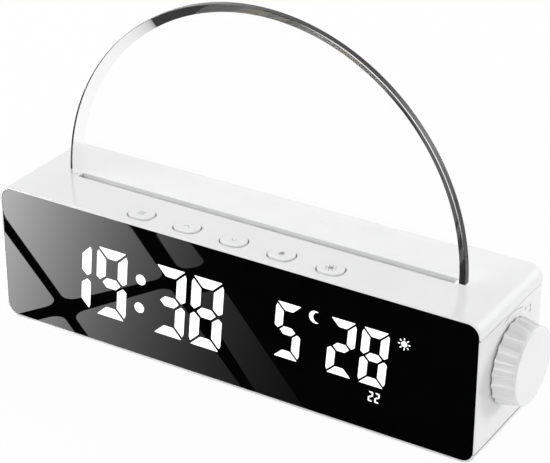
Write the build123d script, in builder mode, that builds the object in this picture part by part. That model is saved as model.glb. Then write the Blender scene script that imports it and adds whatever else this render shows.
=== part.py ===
from build123d import *
import os
from math import radians, sqrt, tan

# Bedside light clock. Millimetres, +Z up, +Y towards its rear, +X along its length to the knob.
# The origin is on the table, under the middle of the whole clock, knob included.

# Housing: a loaf with rounded shoulders, standing on four rubber feet.
housing_length = 202.6
housing_depth = 49.9
housing_height = 55.9
wall = 2.0
shoulder_radius = 5.5
rear_edge_radius = 1.5
front_edge_radius = 0.3
foot_stand = 1.0

# The top and base covers close a U-shaped shell that is slightly recessed between them.
top_skirt = 6.3
base_skirt = 4.4
top_seam = 0.65
base_seam = 0.4
shell_recess = 0.3
lip_thickness = 1.0
lip_reach = 2.0
lip_root = 2.5
lip_start = 8.0
lip_clearance = 0.15
least_radius = 0.2
cut_margin = 1.0

# Mirror panel, set into the front edges of the covers and the shell.
rim = 0.85
panel_gap = 0.15
panel_thickness = 2.0
panel_recess = 0.1

# Display: four time digits with a colon, then month and day, each a row of seven segments.
digit_slant = 4.6
digit_drop = 13.5
time_centre = -37.45
time_digit = (13.5, 29.9)
time_stroke = 4.4
time_inner_offset = 13.05
time_spacing = 16.05
colon_radius = 2.3
colon_spacing = 12.1
date_digit = (10.8, 23.3)
date_stroke = 3.4
month_centre = 26.1
day_centre = 54.4
date_spacing = 13.0
segment_gap = 0.7
segment_outer_cut = 0.3
mark_size = (6.5, 6.5)
mark_height = 12.45
month_mark_centre = 37.5
day_mark_centre = 72.6
weekday_size = (8.0, 5.5)
weekday_place = (61.3, -12.8)
reflector_length = 157.0
reflector_margin = 2.2
reflector_depth = 8.0
diffuser_thickness = 1.2
diffuser_clearance = 0.06
led_size = (2.0, 1.2)
led_height = 0.8
led_pocket_clearance = 0.3
led_pocket_depth = 1.6
board_thickness = 1.6
board_corner = 1.0
display_board_margin = (7.5, 1.35)
display_screw_inset = (4.0, 3.0)
carrier_thickness = 3.0
carrier_top_bar = 1.3
carrier_clearance = 0.2

# Light plate: a clear half disc whose tongue drops through a slot into its holder.
plate_radius = 84.0
plate_thickness = 5.2
plate_setback = 21.8
plate_bevel = (3.8, 1.5)
plate_front_chamfer = 0.2
tongue_length = 160.0
tongue_depth = 7.0
slot_clearance = 0.15
slot_front_gap = 0.5
holder_wall = 2.2
holder_ear = 6.5
holder_ear_thickness = 3.0
holder_screw_inset = 2.8
holder_screw_bite = 2.4
light_board_width = 6.6
light_led_size = (2.8, 3.5)
light_led_height = 0.8
light_led_count = 15
light_led_spacing = 10.4

# Buttons: five capsules in a row in front of the plate, over a board of tact switches.
button_names = ("button_mode", "button_up", "button_down", "button_bell", "button_light")
plunger_names = ("plunger_mode", "plunger_up", "plunger_down", "plunger_bell", "plunger_light")
button_spacing = 20.0
button_row_shift = -0.9
button_setback = 7.6
button_cap = (9.9, 7.9)
button_corner = 3.4
button_gap = 0.5
button_proud = 0.7
button_edge_radius = 0.4
button_travel = 0.5
flange_width = 0.9
flange_thickness = 1.2
flange_clearance = 0.3
stem_radius = 1.8
stem_length = 0.4
plunger_radius = 1.7
plunger_clearance = 0.06
plunger_stand = 0.8
plunger_engagement = 1.2
switch_size = 6.0
switch_height = 3.0
button_board_size = (110.0, 10.4)
button_screw_spacing = 100.0

# Knob on the right end, on the D-shaft of a panel-mounted rotary dimmer.
knob_height = 30.0
knob_back_radius = 16.0
knob_front_radius = 14.4
knob_gap = 0.6
knob_length = 8.4
knob_ring = 1.0
knob_face_radius = 0.4
knob_face_wall = 1.4
flute_count = 20
flute_depth = 0.75
flute_radius = 3.8
knob_pocket_radius = 12.6
knob_pocket_depth = 5.2
knob_rib_thickness = 1.2
hub_radius = 5.2
hub_clearance = 0.4
shaft_radius = 3.0
shaft_flat = 1.5
shaft_clearance = 0.05
bush_radius = 3.5
bush_spare = 0.3
bush_clearance = 0.1
washer_radius = 5.6
washer_thickness = 0.5
nut_flats = 10.0
nut_thickness = 2.2
dimmer_body_size = 12.0
dimmer_body_depth = 6.5
dimmer_body_wall = 1.0

# Case screws rise from the base into long posts under the top cover, beside the plate's holder.
post_radius = 2.8
post_dimmer_gap = 1.4
post_holder_gap = 0.2
post_rear_setback = 7.4
post_seat_height = 9.0
seat_gap = 0.2
case_screw_radius = 1.25
case_screw_length = 16.0
case_head = (2.7, 2.0)
case_recess = (3.5, 0.7, 1.1)
case_counterbore_radius = 3.2
case_counterbore_depth = 5.0
base_boss_radius = 4.2
board_screw_radius = 1.0
board_screw_length = 5.5
board_head = (2.0, 1.4)
screw_clearance = 0.05
through_clearance = 0.3
screw_boss_radius = 2.5

# Main board on short pillars in the base, with its power socket through the rear wall.
main_board_size = (100.0, 27.0)
main_board_x = 15.0
main_board_rear_gap = 0.65
main_board_standoff = 6.0
main_screw_inset = (4.0, 3.5)
socket_size = (8.9, 7.3, 3.2)
socket_place = 30.0
socket_shell = 0.35
socket_back = 1.0
socket_tongue = (6.6, 0.7)
socket_inset = 0.6
socket_clearance = 0.4
socket_corner = 1.2
cell_radius = 10.0
cell_thickness = 3.2
cell_chamfer = 0.6
cell_from_screw = 10.0
cell_holder_wall = 1.2
cell_holder_floor = 0.6
cell_clearance = 0.15
chips = ((-3.0, 0.5, 9.0, 9.0, 1.4), (23.0, -5.5, 5.0, 6.0, 1.5), (37.0, 2.5, 6.5, 6.5, 1.8))
capacitor_places = ((28.0, 5.5), (29.0, -2.0))
capacitor_radius = 3.1
capacitor_height = 5.4

# Loudspeaker against the perforated patch of the rear wall.
speaker_inset = 39.3
speaker_height = 28.0
speaker_radius = 14.0
speaker_flange = 1.6
speaker_depth = 7.0
basket_lip = 1.0
magnet_radius = 8.0
magnet_depth = 4.5
cone_thickness = 0.4
cone_neck_radius = 6.0
cone_stand = 2.0
cone_neck_stand = 2.5
cone_edge_drop = 1.0
grille_hole_radius = 1.0
grille_ring_spacing = 3.6

# Rubber feet pressed into recesses under the base.
foot_radius = 4.6
foot_recess = 1.0
foot_clearance = 0.15
foot_edge_radius = 0.4
foot_inset = (24.3, 8.0)

# Flat cables from the boards down to plugs on the main board: place along the board and width.
ribbon_thickness = 0.4
ribbon_bend = 1.2
plug_size = (3.0, 3.0)
plug_margin = 1.0
display_cable = (5.0, 18.0)
display_cable_rise = 20.0
lamp_cable = (39.0, 8.0)
lamp_plug_y = -4.5
lamp_cable_bends = (12.0, 20.0)
button_cable_from_cell = 19.0
button_cable_width = 10.0
button_plug_y = -6.5
button_cable_gap = 2.0
button_cable_bends = (14.0, 9.0)

# Levels and stations worked out from the sizes above.
knob_wall_x = housing_length / 2 - shell_recess
knob_back_x = knob_wall_x + knob_gap
knob_face_x = knob_back_x + knob_length
housing_x = -(knob_face_x - housing_length / 2) / 2
front_y = -housing_depth / 2
back_y = housing_depth / 2
base_z = foot_stand
top_z = base_z + housing_height
top_seam_z = top_z - top_skirt
base_seam_z = base_z + base_skirt
ceiling_z = top_z - wall
floor_z = base_z + wall
panel_mid_z = base_z + housing_height / 2
panel_back_y = front_y + panel_recess + panel_thickness
digits_top_z = top_z - digit_drop
digits_mid_z = digits_top_z - time_digit[1] / 2
reflector_height = time_digit[1] + 2 * reflector_margin
display_board_y = panel_back_y + reflector_depth
display_back_y = display_board_y + board_thickness
display_board_size = (
    reflector_length + 2 * display_board_margin[0],
    reflector_height + 2 * display_board_margin[1],
)
display_screw_spacing = (
    display_board_size[0] - 2 * display_screw_inset[0],
    display_board_size[1] - 2 * display_screw_inset[1],
)
plate_front_y = front_y + plate_setback
plate_back_y = plate_front_y + plate_thickness
plate_mid_y = (plate_front_y + plate_back_y) / 2
tongue_z = top_z - tongue_depth
light_board_z = tongue_z - light_led_height - seat_gap - board_thickness
holder_z = light_board_z + board_thickness
holder_width = plate_thickness + 2 * slot_clearance + 2 * holder_wall
holder_half_length = tongue_length / 2 + slot_clearance + holder_wall
holder_screw_x = holder_half_length + holder_ear - holder_screw_inset
button_y = front_y + button_setback
button_places = [
    (button_row_shift + (i - 2) * button_spacing, button_y) for i in range(len(button_names))
]
flange_z = ceiling_z - flange_clearance - flange_thickness
plunger_top_z = flange_z - stem_length
switch_top_z = plunger_top_z - plunger_stand
button_board_z = switch_top_z - switch_height - board_thickness
shell_back_y = back_y - shell_recess
shell_inner_y = shell_back_y - wall
main_board_y = shell_inner_y - main_board_rear_gap - main_board_size[1] / 2
main_board_z = floor_z + main_board_standoff
main_board_top = main_board_z + board_thickness
main_screw_spacing = (
    main_board_size[0] - 2 * main_screw_inset[0],
    main_board_size[1] - 2 * main_screw_inset[1],
)
cell_place = (cell_from_screw - main_screw_spacing[0] / 2, 0)
button_cable = (cell_place[0] + button_cable_from_cell, button_cable_width)
socket_z = main_board_top + socket_size[2] / 2
speaker_place = (speaker_inset - housing_length / 2, base_z + speaker_height)
foot_places = [
    (side * (housing_length / 2 - foot_inset[0]), way * (housing_depth / 2 - foot_inset[1]))
    for side in (-1, 1)
    for way in (-1, 1)
]
dimmer_z = base_z + knob_height
bush_start_x = knob_wall_x - wall
bush_end_x = knob_wall_x + washer_thickness + nut_thickness + bush_spare
hub_start_x = bush_end_x + hub_clearance
bore_end_x = knob_face_x - knob_face_wall
dimmer_start_x = bush_start_x - dimmer_body_depth
shaft_start_x = dimmer_start_x + dimmer_body_wall
post_x = dimmer_start_x - post_dimmer_gap - post_radius
front_post_y = plate_mid_y - holder_width / 2 - post_holder_gap - post_radius
post_places = [
    (side * post_x, y) for side in (-1, 1) for y in (front_post_y, back_y - post_rear_setback)
]


def level(z):
    """A plane at height z, looking down, centred on the housing."""
    return Plane((housing_x, 0, z))


def on_board(z):
    """A plane at height z, looking down, centred on the main board."""
    return Plane((housing_x + main_board_x, main_board_y, z))


def upright(y):
    """A plane at depth y that faces the front, centred on the housing."""
    return Plane((housing_x, y, 0), x_dir=(1, 0, 0), z_dir=(0, -1, 0))


def cross(x):
    """A plane across the housing at x, facing the right end."""
    return Plane((housing_x + x, 0, 0), x_dir=(0, 1, 0), z_dir=(1, 0, 0))


def on_knob(x):
    """A plane at x that faces the right end, centred on the knob's axis."""
    return Plane((housing_x + x, 0, dimmer_z), x_dir=(0, 1, 0), z_dir=(1, 0, 0))


def grid(spacing, centre):
    """The four corners of a rectangle of screws."""
    x, y = centre
    across, along = spacing
    return [(x + i * across / 2, y + j * along / 2) for i in (-1, 1) for j in (-1, 1)]


os.makedirs("parts", exist_ok=True)


# ---------------------------------------------------------------- housing shells

def loaf(inset, front_radius=0.0):
    """The housing's outer form, drawn in by an inset at its ends, top, base and rear."""
    with BuildPart() as form:
        with BuildSketch(upright(front_y)):
            with Locations((0, panel_mid_z)):
                RectangleRounded(
                    housing_length - 2 * inset,
                    housing_height - 2 * inset,
                    shoulder_radius - inset,
                )
        extrude(amount=-(housing_depth - inset))
        rear_edges = form.faces().sort_by(Axis.Y)[-1].edges()
        fillet(rear_edges, max(rear_edge_radius - inset, least_radius))
        if front_radius:
            fillet(form.faces().sort_by(Axis.Y)[0].edges(), front_radius)
    return form.part


def plan(inset):
    """The housing seen from above, open at the front and drawn in elsewhere."""
    with BuildSketch() as outline:
        with Locations((0, -inset / 2)):
            Rectangle(housing_length - 2 * inset, housing_depth - inset)
        rear = outline.vertices().group_by(Axis.Y)[-1]
        fillet(rear, max(rear_edge_radius - inset, least_radius))
    return outline.sketch


def locating_lip(seam_z, seam, direction):
    """A U-shaped tongue on a cover that drops inside the shell and lines the two up."""
    shell_inner = shell_recess + wall + lip_clearance
    with BuildPart() as lip:
        for outer, start, end in (
            (wall / 2, seam / 2, lip_root),
            (shell_inner, -lip_reach, lip_root),
        ):
            low = min(seam_z - direction * start, seam_z - direction * end)
            with BuildSketch(level(low)):
                add(plan(outer))
                add(plan(shell_inner + lip_thickness), mode=Mode.SUBTRACT)
                with Locations((0, front_y)):
                    Rectangle(housing_length, 2 * lip_start, mode=Mode.SUBTRACT)
            extrude(amount=end - start)
    return lip.part


covers_form = loaf(0, front_edge_radius)
covers_cavity = loaf(wall)

with BuildPart() as panel_seat:
    with BuildSketch(upright(front_y)):
        with Locations((0, panel_mid_z)):
            RectangleRounded(
                housing_length - 2 * rim, housing_height - 2 * rim, shoulder_radius - rim
            )
    extrude(amount=-(panel_recess + panel_thickness))

with BuildPart() as top_cover:
    add(covers_form)
    with BuildSketch(level(0)):
        Rectangle(2 * housing_length, 2 * housing_depth)
    extrude(amount=top_seam_z + top_seam / 2, mode=Mode.SUBTRACT)
    add(covers_cavity, mode=Mode.SUBTRACT)
    add(locating_lip(top_seam_z, top_seam, -1))
    add(panel_seat.part, mode=Mode.SUBTRACT)
    # Posts for the case screws, and short pillars for the button board and the plate holder.
    with BuildSketch(level(base_z + post_seat_height + seat_gap)):
        with Locations(*post_places):
            Circle(post_radius)
    extrude(until=Until.NEXT)
    with BuildSketch(level(button_board_z + board_thickness)):
        with Locations((-button_screw_spacing / 2, button_y), (button_screw_spacing / 2, button_y)):
            Circle(screw_boss_radius)
    extrude(until=Until.NEXT)
    with BuildSketch(level(holder_z + holder_ear_thickness)):
        with Locations((-holder_screw_x, plate_mid_y), (holder_screw_x, plate_mid_y)):
            Circle(screw_boss_radius)
    extrude(until=Until.NEXT)
    # Pilot holes.
    with BuildSketch(level(base_z + post_seat_height + seat_gap)):
        with Locations(*post_places):
            Circle(case_screw_radius + screw_clearance)
    extrude(amount=case_screw_length, mode=Mode.SUBTRACT)
    with BuildSketch(level(button_board_z + board_thickness)):
        with Locations((-button_screw_spacing / 2, button_y), (button_screw_spacing / 2, button_y)):
            Circle(board_screw_radius + screw_clearance)
    extrude(amount=board_screw_length, mode=Mode.SUBTRACT)
    with BuildSketch(level(holder_z + holder_ear_thickness)):
        with Locations((-holder_screw_x, plate_mid_y), (holder_screw_x, plate_mid_y)):
            Circle(board_screw_radius + screw_clearance)
    extrude(amount=holder_screw_bite + seat_gap, mode=Mode.SUBTRACT)
    # Slot for the plate's tongue, with a shadow gap in front of the plate.
    with BuildSketch(level(ceiling_z - cut_margin)):
        with Locations((0, (plate_back_y + slot_clearance + plate_front_y - slot_front_gap) / 2)):
            Rectangle(
                tongue_length + 2 * slot_clearance,
                plate_thickness + slot_clearance + slot_front_gap,
            )
    extrude(amount=wall + 2 * cut_margin, mode=Mode.SUBTRACT)
    # Button openings.
    with BuildSketch(level(ceiling_z - cut_margin)):
        with Locations(*button_places):
            RectangleRounded(
                button_cap[0] + 2 * button_gap,
                button_cap[1] + 2 * button_gap,
                button_corner + button_gap,
            )
    extrude(amount=wall + 2 * cut_margin, mode=Mode.SUBTRACT)
top_cover.part.label = "top_cover"
export_step(top_cover.part, "parts/top_cover.step")

with BuildPart() as base_cover:
    add(covers_form)
    with BuildSketch(level(base_seam_z - base_seam / 2)):
        Rectangle(2 * housing_length, 2 * housing_depth)
    extrude(amount=housing_height, mode=Mode.SUBTRACT)
    add(covers_cavity, mode=Mode.SUBTRACT)
    add(locating_lip(base_seam_z, base_seam, 1))
    add(panel_seat.part, mode=Mode.SUBTRACT)
    # Bosses for the case screws and pillars for the main board.
    with BuildSketch(level(floor_z - wall / 2)):
        with Locations(*post_places):
            Circle(base_boss_radius)
    extrude(amount=base_z + post_seat_height - floor_z + wall / 2)
    with BuildSketch(on_board(floor_z - wall / 2)):
        with Locations(*grid(main_screw_spacing, (0, 0))):
            Circle(screw_boss_radius)
    extrude(amount=main_board_standoff + wall / 2)
    with BuildSketch(on_board(floor_z)):
        with Locations(*grid(main_screw_spacing, (0, 0))):
            Circle(board_screw_radius + screw_clearance)
    extrude(amount=main_board_standoff, mode=Mode.SUBTRACT)
    with Locations(*[level(base_z) * Pos(x, y, 0) * Rot(180, 0, 0) for x, y in post_places]):
        CounterBoreHole(
            case_screw_radius + through_clearance,
            case_counterbore_radius,
            case_counterbore_depth,
            depth=2 * post_seat_height,
        )
    # Recesses for the feet.
    with BuildSketch(level(base_z)):
        with Locations(*foot_places):
            Circle(foot_radius + foot_clearance)
    extrude(amount=foot_recess, mode=Mode.SUBTRACT)
base_cover.part.label = "base_cover"
export_step(base_cover.part, "parts/base_cover.step")

with BuildPart() as rear_shell:
    add(loaf(shell_recess))
    with BuildSketch(level(0)):
        Rectangle(2 * housing_length, 2 * housing_depth)
    extrude(amount=base_seam_z + base_seam / 2, mode=Mode.SUBTRACT)
    with BuildSketch(level(top_seam_z - top_seam / 2)):
        Rectangle(2 * housing_length, 2 * housing_depth)
    extrude(amount=housing_height, mode=Mode.SUBTRACT)
    add(loaf(shell_recess + wall), mode=Mode.SUBTRACT)
    add(panel_seat.part, mode=Mode.SUBTRACT)
    # Hole for the dimmer's bush in the right end wall.
    with BuildSketch(on_knob(bush_start_x - cut_margin)):
        Circle(bush_radius + bush_clearance)
    extrude(amount=wall + 2 * cut_margin, mode=Mode.SUBTRACT)
    # Opening for the power socket.
    with BuildSketch(upright(shell_inner_y - cut_margin)):
        with Locations((socket_place, socket_z)):
            RectangleRounded(
                socket_size[0] + 2 * socket_clearance,
                socket_size[2] + 2 * socket_clearance,
                socket_corner + socket_clearance,
            )
    extrude(amount=-(wall + 2 * cut_margin), mode=Mode.SUBTRACT)
    # Perforated patch for the loudspeaker: a centre hole and two rings.
    with BuildSketch(upright(shell_inner_y - cut_margin)):
        with Locations(speaker_place):
            Circle(grille_hole_radius)
            for ring in (1, 2):
                with PolarLocations(ring * grille_ring_spacing, 6 * ring):
                    Circle(grille_hole_radius)
    extrude(amount=-(wall + 2 * cut_margin), mode=Mode.SUBTRACT)
rear_shell.part.label = "rear_shell"
export_step(rear_shell.part, "parts/rear_shell.step")

with BuildPart() as mirror_panel:
    with BuildSketch(upright(front_y + panel_recess)):
        with Locations((0, panel_mid_z)):
            RectangleRounded(
                housing_length - 2 * (rim + panel_gap),
                housing_height - 2 * (rim + panel_gap),
                shoulder_radius - rim - panel_gap,
            )
    extrude(amount=-panel_thickness)
mirror_panel.part.label = "mirror_panel"
export_step(mirror_panel.part, "parts/mirror_panel.step")


# ---------------------------------------------------------------- display module

def lean(x, z):
    """A point of a digit's outline, slanted to the right as it rises."""
    return (x + z * tan(radians(digit_slant)), z)


def segment_outlines(size, stroke, shrink, names="abcdefg"):
    """The outlines of a digit's segments, mitred where they meet, about the digit's centre."""
    w = size[0] / 2 - shrink
    h = size[1] / 2 - shrink
    s = stroke - 2 * shrink
    m = (segment_gap / 2 + shrink) * sqrt(2)
    bar = [(m - w, h), (w - m, h), (w - s - m, h - s), (s + m - w, h - s)]
    middle = [(m + s / 2 - w, 0), (s + m - w, s / 2), (w - s - m, s / 2)]
    middle += [(-x, -z) for x, z in middle]
    cut = segment_outer_cut * s
    post = [(w, h - m), (w, cut + m), (w - s / 2, m), (w - s, s / 2 + m), (w - s, h - s - m)]
    shapes = {
        "a": bar,
        "b": post,
        "c": [(x, -z) for x, z in post],
        "d": [(x, -z) for x, z in bar],
        "e": [(-x, -z) for x, z in post],
        "f": [(-x, z) for x, z in post],
        "g": middle,
    }
    return [[lean(x, z) for x, z in shapes[name]] for name in names]


def digits():
    """Each digit's place, size, stroke and segments, in the display's own plane."""
    date_z = digits_top_z - date_digit[1] / 2
    outer = time_inner_offset + time_spacing
    for offset in (-outer, -time_inner_offset, time_inner_offset, outer):
        yield (time_centre + offset, digits_mid_z), time_digit, time_stroke, "abcdefg"
    yield (month_centre - date_spacing, date_z), date_digit, date_stroke, "bc"
    yield (month_centre, date_z), date_digit, date_stroke, "abcdefg"
    for offset in (-date_spacing / 2, date_spacing / 2):
        yield (day_centre + offset, date_z), date_digit, date_stroke, "abcdefg"


def windows(shrink):
    """Draws every light window of the display: segments, colon dots and calendar marks."""
    for place, size, stroke, names in digits():
        with Locations(place):
            for outline in segment_outlines(size, stroke, shrink, names):
                Polygon(*outline, align=None)
    with Locations(*colon_places()):
        Circle(colon_radius - shrink)
    with Locations(*mark_places()):
        Rectangle(mark_size[0] - 2 * shrink, mark_size[1] - 2 * shrink)
    with Locations((weekday_place[0], digits_mid_z + weekday_place[1])):
        Rectangle(weekday_size[0] - 2 * shrink, weekday_size[1] - 2 * shrink)


def colon_places():
    """The two dots between hours and minutes, on the digits' slant."""
    rise = colon_spacing / 2
    return [
        (time_centre + lean(0, z)[0], digits_mid_z + z) for z in (-rise, rise)
    ]


def mark_places():
    """The month mark and the day mark beside their digits."""
    return [(x, digits_mid_z + mark_height) for x in (month_mark_centre, day_mark_centre)]


def light_places():
    """The middle of every light window, where its lamp sits."""
    places = []
    for (x, z), size, stroke, names in digits():
        for outline in segment_outlines(size, stroke, 0, names):
            across = sum(point[0] for point in outline) / len(outline)
            rise = sum(point[1] for point in outline) / len(outline)
            places.append((x + across, z + rise))
    places += colon_places()
    places += mark_places()
    places.append((weekday_place[0], digits_mid_z + weekday_place[1]))
    return places


with BuildPart() as display_reflector:
    with BuildSketch(upright(panel_back_y)):
        with Locations((0, digits_mid_z)):
            RectangleRounded(reflector_length, reflector_height, board_corner)
    extrude(amount=-reflector_depth)
    with BuildSketch(upright(panel_back_y)):
        windows(0)
    extrude(amount=-(reflector_depth - led_pocket_depth), mode=Mode.SUBTRACT)
    with BuildSketch(upright(display_board_y)):
        with Locations(*light_places()):
            Rectangle(led_size[0] + 2 * led_pocket_clearance, led_size[1] + 2 * led_pocket_clearance)
    extrude(amount=led_pocket_depth, mode=Mode.SUBTRACT)
display_reflector.part.label = "display_reflector"
export_step(display_reflector.part, "parts/display_reflector.step")

with BuildPart() as display_diffusers:
    with BuildSketch(upright(panel_back_y)):
        windows(diffuser_clearance)
    extrude(amount=-diffuser_thickness)
display_diffusers.part.label = "display_diffusers"
export_step(display_diffusers.part, "parts/display_diffusers.step")

with BuildPart() as display_leds:
    with BuildSketch(upright(display_board_y)):
        with Locations(*light_places()):
            Rectangle(*led_size)
    extrude(amount=led_height)
display_leds.part.label = "display_leds"
export_step(display_leds.part, "parts/display_leds.step")

with BuildPart() as display_board:
    with BuildSketch(upright(display_board_y)):
        with Locations((0, digits_mid_z)):
            RectangleRounded(*display_board_size, board_corner)
        with Locations(*grid(display_screw_spacing, (0, digits_mid_z))):
            Circle(board_screw_radius + through_clearance, mode=Mode.SUBTRACT)
    extrude(amount=-board_thickness)
display_board.part.label = "display_board"
export_step(display_board.part, "parts/display_board.step")

carrier_inset = shell_recess + wall + lip_clearance + lip_thickness + carrier_clearance
carrier_low = base_z + carrier_inset
carrier_high = digits_mid_z + reflector_height / 2 + carrier_clearance + carrier_top_bar

with BuildPart() as panel_carrier:
    with BuildSketch(upright(panel_back_y)):
        with Locations((0, (carrier_low + carrier_high) / 2)):
            RectangleRounded(
                housing_length - 2 * carrier_inset, carrier_high - carrier_low, board_corner
            )
        with Locations((0, digits_mid_z)):
            Rectangle(
                reflector_length + 2 * carrier_clearance,
                reflector_height + 2 * carrier_clearance,
                mode=Mode.SUBTRACT,
            )
    extrude(amount=-carrier_thickness)
    with BuildSketch(upright(panel_back_y)):
        with Locations(*grid(display_screw_spacing, (0, digits_mid_z))):
            Circle(screw_boss_radius)
    extrude(amount=-reflector_depth)
    with BuildSketch(upright(display_board_y)):
        with Locations(*grid(display_screw_spacing, (0, digits_mid_z))):
            Circle(board_screw_radius + screw_clearance)
    extrude(amount=board_screw_length, mode=Mode.SUBTRACT)
panel_carrier.part.label = "panel_carrier"
export_step(panel_carrier.part, "parts/panel_carrier.step")


# ---------------------------------------------------------------- light plate

with BuildPart() as light_plate:
    # Half of a turned disc: its rear face is bevelled all round the arc.
    with BuildSketch(level(top_z)):
        with BuildLine():
            Polyline(
                (0, plate_front_y),
                (plate_radius - plate_front_chamfer, plate_front_y),
                (plate_radius, plate_front_y + plate_front_chamfer),
                (plate_radius, plate_back_y - plate_bevel[1]),
                (plate_radius - plate_bevel[0], plate_back_y),
                (0, plate_back_y),
                close=True,
            )
        make_face()
    revolve(axis=Axis((housing_x, 0, top_z), (0, -1, 0)), revolution_arc=180)
    with BuildSketch(level(tongue_z)):
        with Locations((0, plate_mid_y)):
            Rectangle(tongue_length, plate_thickness)
    extrude(amount=tongue_depth)
light_plate.part.label = "light_plate"
export_step(light_plate.part, "parts/light_plate.step")

with BuildPart() as plate_holder:
    with BuildSketch(level(holder_z)):
        with Locations((0, plate_mid_y)):
            Rectangle(2 * holder_half_length, holder_width)
    extrude(amount=ceiling_z - holder_z - seat_gap)
    with BuildSketch(level(holder_z)):
        with Locations((0, plate_mid_y)):
            Rectangle(2 * (holder_half_length + holder_ear), holder_width)
    extrude(amount=holder_ear_thickness)
    with BuildSketch(level(holder_z)):
        with Locations((0, plate_mid_y)):
            Rectangle(tongue_length + 2 * slot_clearance, plate_thickness + 2 * slot_clearance)
        with Locations((-holder_screw_x, plate_mid_y), (holder_screw_x, plate_mid_y)):
            Circle(board_screw_radius + through_clearance)
    extrude(amount=ceiling_z - holder_z, mode=Mode.SUBTRACT)
plate_holder.part.label = "plate_holder"
export_step(plate_holder.part, "parts/plate_holder.step")

with BuildPart() as light_board:
    with BuildSketch(level(light_board_z)):
        with Locations((0, plate_mid_y)):
            Rectangle(2 * (holder_half_length + holder_ear), light_board_width)
        with Locations((-holder_screw_x, plate_mid_y), (holder_screw_x, plate_mid_y)):
            Circle(board_screw_radius + through_clearance, mode=Mode.SUBTRACT)
    extrude(amount=board_thickness)
light_board.part.label = "light_board"
export_step(light_board.part, "parts/light_board.step")

with BuildPart() as light_leds:
    with BuildSketch(level(holder_z)):
        with Locations((0, plate_mid_y)):
            with GridLocations(light_led_spacing, light_led_spacing, light_led_count, 1):
                Rectangle(light_led_size[1], light_led_size[0])
    extrude(amount=light_led_height)
light_leds.part.label = "light_leds"
export_step(light_leds.part, "parts/light_leds.step")


# ---------------------------------------------------------------- buttons

def button(place):
    """A cap with a retaining flange under the cover and a short stem onto its switch."""
    with BuildPart() as cap:
        with BuildSketch(level(flange_z)):
            with Locations(place):
                RectangleRounded(*button_cap, button_corner)
        extrude(amount=top_z + button_proud - flange_z)
        fillet(cap.faces().sort_by(Axis.Z)[-1].edges(), button_edge_radius)
        with BuildSketch(level(flange_z)):
            with Locations(place):
                RectangleRounded(
                    button_cap[0] + 2 * (button_gap + flange_width),
                    button_cap[1] + 2 * (button_gap + flange_width),
                    button_corner + button_gap + flange_width,
                )
        extrude(amount=flange_thickness)
        with BuildSketch(level(plunger_top_z)):
            with Locations(place):
                Circle(stem_radius)
        extrude(amount=flange_z - plunger_top_z)
    return cap.part


def plunger(place):
    """The switch's own plunger, which the button's stem presses into the switch."""
    with BuildPart() as pin:
        with BuildSketch(level(switch_top_z - plunger_engagement)):
            with Locations(place):
                Circle(plunger_radius)
        extrude(amount=plunger_stand + plunger_engagement)
    return pin.part


for name, place in zip(button_names, button_places):
    cap = button(place)
    cap.label = name
    export_step(cap, f"parts/{name}.step")

for name, place in zip(plunger_names, button_places):
    pin = plunger(place)
    pin.label = name
    export_step(pin, f"parts/{name}.step")

with BuildPart() as tact_switches:
    with BuildSketch(level(button_board_z + board_thickness)):
        with Locations(*button_places):
            Rectangle(switch_size, switch_size)
    extrude(amount=switch_height)
    with BuildSketch(level(switch_top_z)):
        with Locations(*button_places):
            Circle(plunger_radius + plunger_clearance)
    extrude(amount=-(plunger_engagement + button_travel + seat_gap), mode=Mode.SUBTRACT)
tact_switches.part.label = "tact_switches"
export_step(tact_switches.part, "parts/tact_switches.step")

with BuildPart() as button_board:
    with BuildSketch(level(button_board_z)):
        with Locations((0, button_y)):
            RectangleRounded(*button_board_size, board_corner)
        with Locations((-button_screw_spacing / 2, button_y), (button_screw_spacing / 2, button_y)):
            Circle(board_screw_radius + through_clearance, mode=Mode.SUBTRACT)
    extrude(amount=board_thickness)
button_board.part.label = "button_board"
export_step(button_board.part, "parts/button_board.step")


# ---------------------------------------------------------------- knob and dimmer

def fluted_section(radius):
    """A circle with concave flutes cut round it, leaving narrow ridges between them."""
    Circle(radius)
    with PolarLocations(radius + flute_radius - flute_depth, flute_count):
        Circle(flute_radius, mode=Mode.SUBTRACT)


with BuildPart() as knob:
    with BuildSketch(on_knob(knob_back_x)):
        fluted_section(knob_back_radius)
    with BuildSketch(on_knob(knob_face_x - knob_ring)):
        fluted_section(knob_front_radius)
    loft()
    with BuildSketch(on_knob(knob_face_x - knob_ring)):
        Circle(knob_front_radius)
    extrude(amount=knob_ring)
    fillet(knob.faces().sort_by(Axis.X)[-1].edges(), knob_face_radius)
    # The back is hollow round a hub on three ribs.
    with BuildSketch(on_knob(knob_back_x)):
        Circle(knob_pocket_radius)
    extrude(amount=knob_pocket_depth, mode=Mode.SUBTRACT)
    with BuildSketch(on_knob(hub_start_x)):
        Circle(hub_radius)
        with PolarLocations(0, 3):
            with Locations((knob_pocket_radius / 2, 0)):
                Rectangle(knob_pocket_radius, knob_rib_thickness)
    extrude(amount=knob_back_x + knob_pocket_depth - hub_start_x)
    with BuildSketch(on_knob(hub_start_x)):
        Circle(shaft_radius + shaft_clearance)
        with Locations((shaft_radius, 0)):
            Rectangle(
                2 * (shaft_radius - shaft_flat - shaft_clearance),
                3 * shaft_radius,
                mode=Mode.SUBTRACT,
            )
    extrude(amount=bore_end_x - hub_start_x, mode=Mode.SUBTRACT)
knob.part.label = "knob"
export_step(knob.part, "parts/knob.step")

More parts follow.
